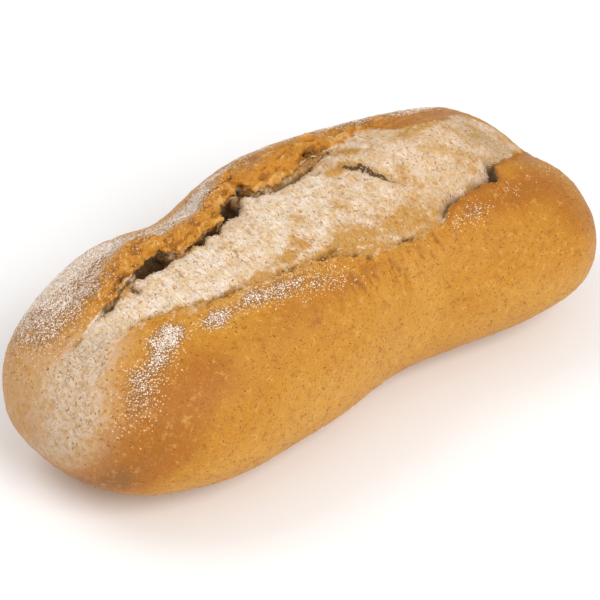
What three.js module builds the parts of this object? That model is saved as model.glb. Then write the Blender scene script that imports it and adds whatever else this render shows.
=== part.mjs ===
// A country bread: one free-standing hearth loaf, longer than wide, with a slight waist.
// It was slashed along its top before baking, and the slash tore open in the oven: the pale crumb
// rose through it, the back crust curled up into a lip over dark pockets, and at the far end the
// front crust stands clear of the crumb. Baked on a flat stone, it has a flat underside.
//
// Units are millimetres. +X runs along the loaf to its far end, +Y to its back and +Z up.
// The skin is a row of rings across the loaf. A point of a ring is given by its arc, measured over
// the baked outline from the top centre line (front negative, back positive), and by its lift, the
// distance that it stands off that outline.
import * as THREE from 'three';

// Driving dimensions
const LENGTH = 280;
const HEIGHT = 83.6;
const FRONT_HALF_WIDTH = 68;
const BACK_HALF_WIDTH = 53.4;
const WIDEST_LEVEL = 0.45 * HEIGHT;
const UNDERSIDE_BULGE = 1.09 * WIDEST_LEVEL; // reaches below the stone, which flattens it
const UNDERSIDE_EDGE = 1; // height at which the underside begins where the ends lift off the stone

// Exponents of the rounded outlines: a higher one is fuller and blunter
const NEAR_END_FULLNESS = 3.83;
const FAR_END_FULLNESS = 3.64;
const END_ROUNDNESS = 2.27;
const CROWN_FULLNESS = 2.45;
const FLANK_FULLNESS = 2.29;

// Swellings of the dough, with at and spread as shares of the half length, by as a share of the size
const FRONT_SWELLS = [
  { at: -0.95, spread: 0.2, by: 0.07 }, // near cheek
  { at: -0.634, spread: 0.25, by: 0.056 }, // near shoulder
  { at: 0.128, spread: 0.23, by: -0.095 }, // waist
  { at: 1.04, spread: 0.457, by: 0.524 }, // far shoulder
];
const BACK_SWELLS = [
  { at: -0.54, spread: 0.16, by: 0.084 }, // near shoulder
  { at: 0.112, spread: 0.313, by: 0.202 }, // where the crumb pushed the crust outwards
];
const CROWN_SWELLS = [
  { at: -0.5, spread: 0.2, by: -0.03 }, // near saddle
  { at: 0.038, spread: 0.335, by: 0.058 }, // crown
];

// Edges of the split, as [x, arc]
const FRONT_EDGE = [
  [-138, -24], [-126, -26], [-116, -22.5], [-104, -19.5], [-90, -20.5], [-80, -23.5], [-68, -26.5],
  [-56, -30], [-40, -32.5], [-26, -34.5], [-15, -36.5], [-7, -39], [2, -43], [14, -45.5], [28, -47.5],
  [42, -47], [49, -45], [55, -42.5], [68, -41.5], [78, -42.5], [82.5, -43.5], [86.5, -37.5],
  [93, -35.5], [101, -34.5], [109, -34], [118, -31], [128, -25], [138, -16],
];
const BACK_EDGE = [
  [-138, -15], [-122, -11], [-110, -5.5], [-98, -1], [-88, 3], [-79, 7], [-70, 10.5], [-62, 9.5],
  [-57, 3], [-50, 4.5], [-44, 6.5], [-38, 7], [-32, 9], [-28, 15], [-24, 18], [-17, 18], [-12.5, 21.5],
  [-8.5, 14], [2, 13], [14, 14], [22, 16], [30, 16], [40, 17], [50, 20], [58, 17], [65, 8], [72, 3],
  [82, 1.5], [91, 2.5], [98, 7], [105, 13], [113, 17], [124, 17], [138, 10],
];
const NARROWEST_SPLIT = 8;
const LIP_ZONE = 18; // how far outside its edge a lip starts to rise

// The two torn lips. Each opens over the first stretch of x and closes over the second. Where its
// crevice gapes into a dark gap, the gap has its own width and depth; between the gaps the crevice is
// almost shut. The shoulder is how far past the crevice the crumb stays sunk.
const FRONT_LIP = {
  opens: [42, 52],
  closes: [92, 108],
  rise: 2.2,
  undercut: 5,
  shoulder: 3.6,
  leastWidth: 0.8,
  leastDepth: 1,
  gaps: [
    { x: 48.5, spread: 3, width: 1, depth: 2.6 },
    { x: 57, spread: 6, width: 1.4, depth: 3.2 },
    { x: 72, spread: 6, width: 1.4, depth: 3 },
    { x: 84, spread: 6, width: 3.2, depth: 6 },
  ],
};
const BACK_LIP = {
  opens: [-112, -94],
  closes: [30, 44],
  rise: 5,
  undercut: 6,
  shoulder: 0.8,
  leastWidth: 0.7,
  leastDepth: 1,
  gaps: [
    { x: -95, spread: 5, width: 1.4, depth: 3.5 },
    { x: -74, spread: 6, width: 4, depth: 4.5 },
    { x: -65, spread: 6, width: 6.4, depth: 7.5 },
    { x: -46, spread: 3.5, width: 3.2, depth: 7 },
    { x: -37.5, spread: 3, width: 3.4, depth: 7 },
    { x: -23, spread: 7, width: 8.5, depth: 8.5 },
    { x: -11.5, spread: 2.4, width: 5, depth: 4.5 },
    { x: -2, spread: 6, width: 3.6, depth: 2.4 },
    { x: 8, spread: 6, width: 3.6, depth: 2.4 },
    { x: 19, spread: 7, width: 4.6, depth: 3 },
  ],
};
const SHALLOW = 3; // a crevice down to this depth has an upright edge
const DEEP = 7; // from this depth on its lip is fully undercut

// Broad forms of the skin, by place and spread along x and arc
const FORMS = [
  { x: 76, alongX: 31, arc: -6, alongArc: 22, lift: 7.7 }, // crumb that burst out at the far end
  { x: -50, alongX: 45, arc: -10, alongArc: 16, lift: 2 }, // crumb of the near half
  { x: 123, alongX: 17, arc: -7, alongArc: 20.5, lift: -10.2 }, // far end, sunk behind that crumb
  { x: -35, alongX: 20, arc: 39, alongArc: 26, lift: -5.4 }, // hollow of the back crust
];

// The step where the far crumb tore off the near crumb, as [minus arc, x]
const TEAR = [
  [-12, 24], [-4, 28.5], [0, 31], [5, 34], [10, 37], [15, 39], [20, 42], [30, 49], [40, 54],
];
const TEAR_STEP = 3.2;

// Fineness of the faceted skin
const RINGS = 118;
const END_RING_SHARE = 0.45; // how much the rings crowd where the ends narrow
const OUTLINE_STEPS = 96;
const UNDERSIDE_COLUMNS = 2;
const FLANK_COLUMNS = 10;
const LIP_COLUMNS = 8;
const CRUMB_COLUMNS = 10;

const bell = (value, at, spread) => Math.exp(-(((value - at) / spread) ** 2));
const ease = THREE.MathUtils.smoothstep;
const mix = THREE.MathUtils.lerp;
const swollen = (along, swells) => swells.reduce((sum, s) => sum + s.by * bell(along, s.at, s.spread), 1);

// A smooth line through a few [place, value] points
function smoothLine(points, place) {
  const last = points.length - 1;
  const slope = (i) => {
    const [before, after] = [points[Math.max(i - 1, 0)], points[Math.min(i + 1, last)]];
    return (after[1] - before[1]) / (after[0] - before[0]);
  };
  let i = 0;
  while (i < last - 1 && place > points[i + 1][0]) i += 1;
  const [[x0, y0], [x1, y1]] = [points[i], points[i + 1]];
  const span = x1 - x0;
  const t = THREE.MathUtils.clamp((place - x0) / span, 0, 1);
  const [t2, t3] = [t * t, t * t * t];
  return (2 * t3 - 3 * t2 + 1) * y0 + (t3 - 2 * t2 + t) * span * slope(i)
    + (3 * t2 - 2 * t3) * y1 + (t3 - t2) * span * slope(i + 1);
}

// How full the loaf is at x: 1 in the middle, falling to 0 at both tips
function fullness(x) {
  const along = Math.min(Math.abs(x) / (LENGTH / 2), 1);
  const exponent = x < 0 ? NEAR_END_FULLNESS : FAR_END_FULLNESS;
  return (1 - along ** exponent) ** (1 / END_ROUNDNESS);
}

// Places of the rings, closer together along the split than round the ends
function ringPlaces() {
  const fine = 4000;
  const middleHalfWidth = (FRONT_HALF_WIDTH + BACK_HALF_WIDTH) / 2;
  const xs = Array.from({ length: fine + 1 }, (_, i) => (i / fine - 0.5) * LENGTH);
  const runs = [0];
  for (let i = 1; i <= fine; i += 1) {
    const narrowing = Math.abs(fullness(xs[i]) - fullness(xs[i - 1])) * middleHalfWidth;
    runs.push(runs[i - 1] + xs[i] - xs[i - 1] + END_RING_SHARE * narrowing);
  }
  const places = [];
  let i = 0;
  for (let ring = 1; ring <= RINGS; ring += 1) {
    const run = (runs[fine] * ring) / (RINGS + 1);
    while (runs[i + 1] < run) i += 1;
    places.push(mix(xs[i], xs[i + 1], (run - runs[i]) / (runs[i + 1] - runs[i])));
  }
  return places;
}

// One side of the baked outline at x, from the top centre line to the middle of the underside
function outlineSide(x, halfWidth, swells) {
  const along = x / (LENGTH / 2);
  const full = fullness(x);
  const reach = halfWidth * full * swollen(along, swells);
  const crown = (HEIGHT - WIDEST_LEVEL) * full * swollen(along, CROWN_SWELLS);
  const points = [];
  let arc = 0;
  for (let i = 0; i <= OUTLINE_STEPS; i += 1) {
    const turn = (Math.PI * i) / OUTLINE_STEPS;
    const above = turn < Math.PI / 2;
    const power = 2 / (above ? CROWN_FULLNESS : FLANK_FULLNESS);
    const out = reach * Math.sin(turn) ** power;
    const level = Math.abs(Math.cos(turn)) ** power;
    const z = Math.max(WIDEST_LEVEL + (above ? crown : -UNDERSIDE_BULGE * full) * level, 0);
    const previous = points[i - 1];
    if (previous) arc += Math.hypot(out - previous.out, z - previous.z);
    points.push({ out, z, arc });
  }
  return points;
}

// The whole outline at x, as points by rising arc, with the arcs where the underside begins: at the
// stone, or just above the lowest point where the ends curve up off it
function outline(x) {
  const front = outlineSide(x, FRONT_HALF_WIDTH, FRONT_SWELLS);
  const back = outlineSide(x, BACK_HALF_WIDTH, BACK_SWELLS);
  const lowest = WIDEST_LEVEL - UNDERSIDE_BULGE * fullness(x);
  const level = Math.max(lowest + UNDERSIDE_EDGE, 0);
  const contact = (side) => {
    const i = side.findIndex((p) => p.z <= level);
    const [a, b] = [side[i - 1], side[i]];
    return mix(a.arc, b.arc, (a.z - level) / (a.z - b.z));
  };
  const points = [
    ...front.slice(1).reverse().map((p) => ({ arc: -p.arc, y: -p.out, z: p.z })),
    ...back.map((p) => ({ arc: p.arc, y: p.out, z: p.z })),
  ];
  return { points, frontContact: -contact(front), backContact: contact(back) };
}

function pointOnOutline(points, arc) {
  let low = 0;
  let high = points.length - 1;
  while (high - low > 1) {
    const middle = (low + high) >> 1;
    if (points[middle].arc > arc) high = middle;
    else low = middle;
  }
  const [a, b] = [points[low], points[high]];
  const t = THREE.MathUtils.clamp((arc - a.arc) / (b.arc - a.arc || 1), 0, 1);
  return new THREE.Vector2(mix(a.y, b.y, t), mix(a.z, b.z, t));
}

// A point that stands off the outline by its lift. Low on the flanks the lift fades out.
function standOff(points, arc, lift) {
  const reach = 2.5;
  const fadeHeight = 12;
  const place = pointOnOutline(points, arc);
  const along = pointOnOutline(points, arc + reach).sub(pointOnOutline(points, arc - reach)).normalize();
  const off = lift * THREE.MathUtils.clamp(place.y / fadeHeight, 0, 1);
  return new THREE.Vector2(place.x - along.y * off, Math.max(place.y + along.x * off, 0));
}

function broadForm(x, arc) {
  const past = x - smoothLine(TEAR, -arc);
  const step = TEAR_STEP * ease(past, -1.2, 1.2) * (1 - ease(past, 4, 40));
  const crumbOnly = bell(arc, -2, 16) * (1 - ease(arc, 6, 14));
  return FORMS.reduce(
    (sum, f) => sum + f.lift * bell(x, f.x, f.alongX) * bell(arc, f.arc, f.alongArc),
    step * crumbOnly,
  );
}

const openness = (x, lip) => ease(x, ...lip.opens) * (1 - ease(x, ...lip.closes));

// The crevice behind a lip at x: its width, its depth and how much of its lip is undercut
function crevice(x, lip) {
  const sum = (size, least) => lip.gaps.reduce((all, g) => all + g[size] * bell(x, g.x, g.spread), least);
  const depth = sum('depth', lip.leastDepth);
  return { width: sum('width', lip.leastWidth), depth, curled: ease(depth, SHALLOW, DEEP) };
}

// Section of each torn lip as [distance past its edge towards the crumb, lift], from the smooth crust
// over the curled edge and its thickness to the bottom of the crevice under it
function frontLipSection(x) {
  const { rise, undercut } = FRONT_LIP;
  const { width, depth, curled } = crevice(x, FRONT_LIP);
  return [
    [-LIP_ZONE, 0], [-9, 0.55 * rise], [-2.6, rise], [0.5, rise - 1.3],
    [mix(0.55, -0.9, curled), rise - mix(1.5, 2.6, curled)],
    [mix(0.6, -undercut, curled), mix(0.1, -0.4 * depth, curled)],
    [mix(0.6, -0.7 * undercut, curled), mix(0, -0.88 * depth, curled)],
    [0.5 * width, -depth],
  ];
}

function backLipSection(x) {
  const { rise, undercut } = BACK_LIP;
  const { width, depth, curled } = crevice(x, BACK_LIP);
  return [
    [-LIP_ZONE, 0.25 * rise], [-9, rise], [-3.6, 0.86 * rise], [0.3, 0.38 * rise],
    [mix(0.4, -1.2, curled), 0.38 * rise - mix(0.7, 2.4, curled)],
    [mix(0.4, -0.85 * undercut, curled), mix(0.1 * rise, -0.35 * depth, curled)],
    [mix(0.4, -0.6 * undercut, curled), mix(0, -0.85 * depth, curled)],
    [0.5 * width, -depth],
  ];
}

// Where the split is shut, the same stretch of skin lies flat in these places
const SHUT_SECTION = [-18, -12, -7.5, -4.5, -3, -1.6, -0.6, 0.4];

// A lip at x, as ring points from the crust to the bottom of its crevice
function lipPoints(x, edge, towardsCrumb, lip, section) {
  const open = openness(x, lip);
  const size = Math.max(fullness(x), 0.15);
  const curve = new THREE.SplineCurve(section.map(([past, lift], i) => new THREE.Vector2(
    edge + towardsCrumb * size * mix(SHUT_SECTION[i], past, open),
    open * lift,
  )));
  return curve.getPoints(LIP_COLUMNS - 1).map(({ x: arc, y: lift }) => ({
    arc,
    lift: lift + broadForm(x, arc),
  }));
}

// Crumb between the two crevices
function crumbPoints(x, from, to) {
  const sunk = (distance, lip) => {
    const { width, depth } = crevice(x, lip);
    const reach = 0.5 * width + lip.shoulder;
    return depth * openness(x, lip) * Math.exp(-((Math.max(distance, 0) / reach) ** 1.7));
  };
  return Array.from({ length: CRUMB_COLUMNS }, (_, i) => {
    const arc = mix(from, to, (i + 1) / (CRUMB_COLUMNS + 1));
    return { arc, lift: broadForm(x, arc) - sunk(arc - from, FRONT_LIP) - sunk(to - arc, BACK_LIP) };
  });
}

// Crust from the middle of the underside up to a lip
function crustPoints(x, middle, contact, lipStart, liftAt) {
  const underside = Array.from({ length: UNDERSIDE_COLUMNS }, (_, i) => ({
    arc: mix(middle, contact, i / UNDERSIDE_COLUMNS),
    lift: 0,
  }));
  const flank = Array.from({ length: FLANK_COLUMNS }, (_, i) => {
    const arc = mix(contact, lipStart, i / FLANK_COLUMNS);
    return { arc, lift: broadForm(x, arc) + liftAt(arc) };
  });
  return [...underside, ...flank];
}

// The ring of skin at x, from the middle of the underside up the front, over and down the back
function ring(x) {
  const { points, frontContact, backContact } = outline(x);
  const full = fullness(x);
  const frontEdge = smoothLine(FRONT_EDGE, x) * full;
  const backEdge = Math.max(smoothLine(BACK_EDGE, x) * full, frontEdge + NARROWEST_SPLIT * full);
  const frontLip = lipPoints(x, frontEdge, 1, FRONT_LIP, frontLipSection(x));
  const backLip = lipPoints(x, backEdge, -1, BACK_LIP, backLipSection(x)).reverse();
  const [frontStart, backStart] = [frontLip[0].arc, backLip.at(-1).arc];
  const crumb = crumbPoints(x, frontLip.at(-1).arc, backLip[0].arc);
  const backRoll = (arc) => 0.25 * BACK_LIP.rise * openness(x, BACK_LIP)
    * Math.exp(-Math.max(arc - backStart, 0) / 9);
  const front = crustPoints(x, points[0].arc, frontContact, frontStart, () => 0);
  const back = crustPoints(x, points.at(-1).arc, backContact, backStart, backRoll).slice(1).reverse();
  return [...front, ...frontLip, ...crumb, ...backLip, ...back].map(({ arc, lift }) => {
    const { x: y, y: z } = standOff(points, arc, lift);
    return [x, y, z];
  });
}

// Closes the rings into one skin, with a fan of triangles at each tip, and centres it over the origin
function loafGeometry() {
  const rings = ringPlaces().map(ring);
  const columns = rings[0].length;
  const mean = (points, axis) => points.reduce((sum, p) => sum + p[axis], 0) / columns;
  const tip = (points, x) => [x, mean(points, 1), mean(points, 2)];
  const vertices = [
    ...rings.flat(),
    tip(rings[0], -LENGTH / 2),
    tip(rings.at(-1), LENGTH / 2),
  ];
  const [nearTip, farTip] = [vertices.length - 2, vertices.length - 1];
  const triangles = [];
  for (let column = 0; column < columns; column += 1) {
    const next = (column + 1) % columns;
    triangles.push(nearTip, column, next);
    for (let r = 0; r < rings.length - 1; r += 1) {
      const [a, b] = [r * columns + column, r * columns + next];
      triangles.push(a, a + columns, b, b, a + columns, b + columns);
    }
    const lastRing = (rings.length - 1) * columns;
    triangles.push(farTip, lastRing + next, lastRing + column);
  }
  const geometry = new THREE.BufferGeometry();
  geometry.setAttribute('position', new THREE.Float32BufferAttribute(vertices.flat(), 3));
  geometry.setIndex(triangles);
  geometry.computeBoundingBox();
  const { min, max } = geometry.boundingBox;
  geometry.translate(-(min.x + max.x) / 2, -(min.y + max.y) / 2, 0);
  geometry.computeVertexNormals();
  return geometry;
}

const crust = new THREE.MeshStandardMaterial({ color: 0xdb9f4a, roughness: 0.72, metalness: 0 });
const loaf = new THREE.Mesh(loafGeometry(), crust);
loaf.name = 'loaf';

const countryBread = new THREE.Group();
countryBread.add(loaf);

export default countryBread;
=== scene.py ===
import math

import bpy
import numpy as np
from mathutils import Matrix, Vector, noise


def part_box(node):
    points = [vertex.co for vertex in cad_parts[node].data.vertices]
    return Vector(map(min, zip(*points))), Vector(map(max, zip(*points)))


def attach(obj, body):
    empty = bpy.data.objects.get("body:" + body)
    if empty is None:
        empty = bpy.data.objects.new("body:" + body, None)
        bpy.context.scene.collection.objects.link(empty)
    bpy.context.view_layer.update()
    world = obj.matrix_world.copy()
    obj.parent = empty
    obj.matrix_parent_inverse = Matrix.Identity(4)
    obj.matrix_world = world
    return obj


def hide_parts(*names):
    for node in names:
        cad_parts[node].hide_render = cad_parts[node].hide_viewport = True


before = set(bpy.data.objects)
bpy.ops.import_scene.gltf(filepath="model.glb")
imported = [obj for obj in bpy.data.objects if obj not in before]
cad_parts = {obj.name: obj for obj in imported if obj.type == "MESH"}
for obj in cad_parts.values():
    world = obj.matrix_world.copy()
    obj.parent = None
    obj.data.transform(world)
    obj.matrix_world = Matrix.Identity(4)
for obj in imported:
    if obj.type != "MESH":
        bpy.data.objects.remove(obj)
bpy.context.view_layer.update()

scene = bpy.context.scene

# ---------------------------------------------------------------------------------------------
# The baked dough. One free-standing loaf of wheat dough with bran, proved in a long basket, turned
# out on a flat stone and baked there: its ends are blunt, its front has a waist, and its underside
# is flat where it lay. Lengths are millimetres down to the floor, and mm turns them into metres.
# ---------------------------------------------------------------------------------------------
mm = 0.001
loaf_low, loaf_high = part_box("loaf")
loaf_length = (loaf_high.x - loaf_low.x) / mm
dough_height = 83.6
front_half_width = 68.0
back_half_width = 53.4
widest_level = 0.45 * dough_height
underside_bulge = 1.09 * widest_level     # a little too deep for the height, so the stone flattens it
underside_edge = 0.5                      # height at which the flat underside begins
near_end_fullness, far_end_fullness, end_roundness = 3.83, 3.64, 2.27
crown_fullness, flank_fullness = 2.45, 2.29

# Swellings: (centre along the half length, spread, share of the size)
front_swells = [(-0.95, 0.2, 0.07), (-0.634, 0.25, 0.056), (0.128, 0.23, -0.095), (1.04, 0.457, 0.524)]
back_swells = [(-0.54, 0.16, 0.084), (0.112, 0.313, 0.202)]
crown_swells = [(-0.5, 0.2, -0.03), (0.038, 0.335, 0.058)]


def bell(value, at, spread):
    return np.exp(-(((value - at) / spread) ** 2))


def ease(value, start, end):
    t = np.clip((value - start) / (end - start), 0, 1)
    return t * t * (3 - 2 * t)


def mix(first, second, share):
    return first + (second - first) * share


def swollen(along, swells):
    return 1 + sum(by * bell(along, at, spread) for at, spread, by in swells)


def smooth_line(points, places):
    """A smooth line through a few (place, value) points."""
    xs, ys = np.array(points, float).T
    before = np.maximum(np.arange(len(xs)) - 1, 0)
    after = np.minimum(np.arange(len(xs)) + 1, len(xs) - 1)
    slopes = (ys[after] - ys[before]) / (xs[after] - xs[before])
    i = np.clip(np.searchsorted(xs, places) - 1, 0, len(xs) - 2)
    span = xs[i + 1] - xs[i]
    t = np.clip((places - xs[i]) / span, 0, 1)
    return ((2 * t**3 - 3 * t**2 + 1) * ys[i] + (t**3 - 2 * t**2 + t) * span * slopes[i]
            + (3 * t**2 - 2 * t**3) * ys[i + 1] + (t**3 - t**2) * span * slopes[i + 1])


def fullness(x):
    """1 in the middle of the loaf, falling to 0 at both tips."""
    along = np.minimum(np.abs(x) / (loaf_length / 2), 1)
    exponent = np.where(x < 0, near_end_fullness, far_end_fullness)
    return (1 - along**exponent) ** (1 / end_roundness)


def ring_places(count):
    """Places of the rings of skin: even along the loaf, and closer together where its ends narrow."""
    end_weight, fine_steps = 0.45, 20000
    xs = np.linspace(-loaf_length / 2, loaf_length / 2, fine_steps + 1)
    narrowing = np.abs(np.diff(fullness(xs))) * (front_half_width + back_half_width) / 2
    runs = np.concatenate([[0], np.cumsum(np.diff(xs) + end_weight * narrowing)])
    return np.interp(np.linspace(0, runs[-1], count + 2)[1:-1], runs, xs)


def outline_side(x, half_width, swells):
    """One side of each ring's baked outline, from the top centre line to the middle underneath: distance
    out, height and arc of its points, and the arc where the underside begins."""
    steps = 160
    along = x / (loaf_length / 2)
    full = fullness(x)
    turn = np.linspace(0, np.pi, steps + 1)
    above = np.cos(turn) > 0
    power = 2 / np.where(above, crown_fullness, flank_fullness)
    reach = half_width * full * swollen(along, swells)
    crown = (dough_height - widest_level) * full * swollen(along, crown_swells)
    out = reach[:, None] * np.abs(np.sin(turn)) ** power
    level = np.abs(np.cos(turn)) ** power
    z = widest_level + np.where(above, crown[:, None], -underside_bulge * full[:, None]) * level
    z = np.maximum(z, 0)
    runs = np.cumsum(np.hypot(np.diff(out), np.diff(z)), axis=1)
    arc = np.concatenate([np.zeros((len(x), 1)), runs], axis=1)
    edge = np.maximum(widest_level - underside_bulge * full, 0) + underside_edge
    contact = np.array([np.interp(-e, -zs, arcs) for e, zs, arcs in zip(edge, z, arc)])
    return out, z, arc, contact


# ---------------------------------------------------------------------------------------------
# The split. The loaf was slashed along its top, and the slash tore open as it rose. The back crust
# curled up into a lip over dark pockets, the crumb swelled out between the two edges, and past the
# middle the front crust stands clear of it. A step shows where the far crumb tore off the near one.
# ---------------------------------------------------------------------------------------------
# Edges of the two crusts along the loaf: (x, distance over the top from the centre line, + = back)
front_edge_points = [
    (-138, -24), (-126, -26), (-116, -22.5), (-104, -19.5), (-90, -20.5), (-80, -23.5), (-68, -26.5),
    (-56, -30), (-40, -32.5), (-26, -34.5), (-15, -36.5), (-7, -39), (2, -43), (14, -45.5), (28, -47.5),
    (42, -47), (49, -45), (55, -42.5), (68, -41.5), (78, -42.5), (82.5, -43.5), (86.5, -37.5), (93, -35.5),
    (101, -34.5), (109, -34), (118, -31), (128, -25), (138, -16),
]
back_edge_points = [
    (-138, -15), (-122, -11), (-110, -5.5), (-98, -1), (-88, 3), (-79, 7), (-70, 10.5), (-62, 9.5),
    (-57, 3), (-50, 4.5), (-44, 6.5), (-38, 7), (-32, 9), (-28, 15), (-24, 18), (-17, 18), (-12.5, 21.5),
    (-8.5, 14), (2, 13), (14, 14), (22, 16), (30, 16), (40, 17), (50, 20), (58, 17), (65, 8), (72, 3),
    (82, 1.5), (91, 2.5), (98, 7), (105, 13), (113, 17), (124, 17), (138, 10),
]
narrowest_split = 8.0
front_lip = dict(
    opens=(42, 52), closes=(92, 108), rise=2.2, undercut=5.0, seed=3.1, shoulder=3.6, least=(0.8, 1.0),
    # x, spread, how wide the crevice gapes, how deep it goes
    gaps=[(48.5, 3, 1.0, 2.6), (57, 6, 1.4, 3.2), (72, 6, 1.4, 3.0), (84, 6, 3.2, 6.0)],
)
back_lip = dict(
    opens=(-112, -94), closes=(30, 44), rise=5.0, undercut=6.0, seed=1.3, shoulder=0.8, least=(0.7, 1.0),
    gaps=[(-95, 5, 1.4, 3.5), (-74, 6, 4.0, 4.5), (-65, 6, 6.4, 7.5), (-46, 3.5, 3.2, 7.0),
          (-37.5, 3, 3.4, 7.0), (-23, 7, 8.5, 8.5), (-11.5, 2.4, 5.0, 4.5), (-2, 6, 3.6, 2.4),
          (8, 6, 3.6, 2.4), (19, 7, 4.6, 3.0)],
)
lip_zone = 18.0
shallow_crevice, deep_crevice = 3.0, 7.0     # the deeper a crevice is, the further its lip curls over it

# Broad forms: x, spread along x, arc, spread along the arc, lift
forms = [
    (76, 31, -6, 22, 7.7),       # crumb that burst out at the far end
    (-50, 45, -10, 16, 2.0),     # crumb of the near half
    (123, 17, -7, 20.5, -10.2),  # far end, sunk behind that crumb
    (-35, 20, 39, 26, -5.4),     # hollow of the back crust
]
# Line of the step across the crumb: (minus arc, x). The step fades out over a stretch past it.
tear = [(-12, 24), (-4, 28.5), (0, 31), (5, 34), (10, 37), (15, 39), (20, 42), (30, 49), (40, 54)]
tear_step, tear_half_width, tear_fade = 3.2, 0.8, (4, 40)

# Along each lip's section: distance past the edge towards the crumb where the split is shut, the same
# measured over the skin where it is open, and how far the ragged tearing reaches
shut_section = np.array([-18, -12, -7.5, -4.5, -3, -1.6, -0.6, 0.4])
open_skin = np.array([-18, -9, -3.2, -0.2, 1.8, 7.5, 11, 15])
torn_reach = np.array([0, 0.1, 0.45, 1, 1, 0.7, 0.5, 0.2])


def broad_form(x, arc):
    past = x - smooth_line(tear, -arc)
    step = tear_step * ease(past, -tear_half_width, tear_half_width) * (1 - ease(past, *tear_fade))
    crumb_only = bell(arc, -2, 16) * (1 - ease(arc, 6, 14))
    return step * crumb_only + sum(
        lift * bell(x, fx, sx) * bell(arc, fa, sa) for fx, sx, fa, sa, lift in forms)


def openness(x, lip):
    return ease(x, *lip["opens"]) * (1 - ease(x, *lip["closes"]))


def gaping(x, lip):
    """How wide the crevice behind a lip gapes, how deep it goes, and how far its lip is undercut."""
    least_gap, least_depth = lip["least"]
    gap = least_gap + sum(wide * bell(x, at, spread) for at, spread, wide, _ in lip["gaps"])
    depth = least_depth + sum(deep * bell(x, at, spread) for at, spread, _, deep in lip["gaps"])
    return gap, depth, ease(depth, shallow_crevice, deep_crevice)


def ragged(x, seed):
    """Ragged line of the torn edge, in bites a few millimetres long."""
    bite_depth, bites_per_mm = 1.5, 0.3
    bites = [noise.fractal(Vector((v * bites_per_mm, seed, 0)), 0.55, 2.1, 4) for v in x]
    return bite_depth * np.array(bites)


def section_of(keys, count):
    """One (distance past the edge, lift) list for each ring, from keys that may be one value or many."""
    return np.array([[np.broadcast_to(v, count) for v in key] for key in keys]).transpose(2, 0, 1)


def front_lip_section(x):
    """From the smooth crust over the risen edge, down its thickness and in under it, to the bottom."""
    rise, undercut = front_lip["rise"], front_lip["undercut"]
    gap, depth, share = gaping(x, front_lip)
    return section_of([
        (-lip_zone, 0), (-9, 0.55 * rise), (-2.6, rise), (0.5, rise - 1.3),
        (mix(0.55, -0.9, share), rise - mix(1.5, 2.6, share)),
        (mix(0.6, -undercut, share), mix(0.1, -0.4 * depth, share)),
        (mix(0.6, -0.7 * undercut, share), mix(0, -0.88 * depth, share)),
        (0.5 * gap, -depth),
    ], len(x))


def back_lip_section(x):
    """The same for the back lip, which rolls over further out and ends lower."""
    rise, undercut = back_lip["rise"], back_lip["undercut"]
    gap, depth, share = gaping(x, back_lip)
    return section_of([
        (-lip_zone, 0.25 * rise), (-9, rise), (-3.6, 0.86 * rise), (0.3, 0.38 * rise),
        (mix(0.4, -1.2, share), 0.38 * rise - mix(0.7, 2.4, share)),
        (mix(0.4, -0.85 * undercut, share), mix(0.1 * rise, -0.35 * depth, share)),
        (mix(0.4, -0.6 * undercut, share), mix(0, -0.85 * depth, share)),
        (0.5 * gap, -depth),
    ], len(x))


def curve_through(keys, count):
    """Catmull-Rom curves through the keys of each row, as count evenly spread points."""
    last = keys.shape[1] - 1
    t = np.linspace(0, last, count)
    i = np.minimum(t.astype(int), last - 1)
    f = t - i
    p0, p1, p2, p3 = (keys[:, np.clip(i + k, 0, last)] for k in (-1, 0, 1, 2))
    return 0.5 * (2 * p1 + (p2 - p0) * f + (2 * p0 - 5 * p1 + 4 * p2 - p3) * f**2
                  + (3 * p1 - p0 - 3 * p2 + p3) * f**3)


def lip_skin(x, full, edge, towards_crumb, lip, section, count):
    """Arc, lift and distance past the edge of a lip's skin, from the crust to its crevice's bottom."""
    least_full = 0.15
    opened = openness(x, lip)[:, None]
    tearing = ragged(x, lip["seed"])[:, None] * opened * torn_reach
    past = shut_section * (1 - opened) + section[..., 0] * opened + tearing
    arc = curve_through(edge[:, None] + towards_crumb * np.maximum(full, least_full)[:, None] * past, count)
    lift = curve_through(opened * section[..., 1], count)
    skin = curve_through(shut_section * (1 - opened) + open_skin * opened, count)
    return arc, lift, skin


def split_edges(x, full):
    front = smooth_line(front_edge_points, x) * full
    back = smooth_line(back_edge_points, x) * full
    return front, np.maximum(back, front + narrowest_split * full)


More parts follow.
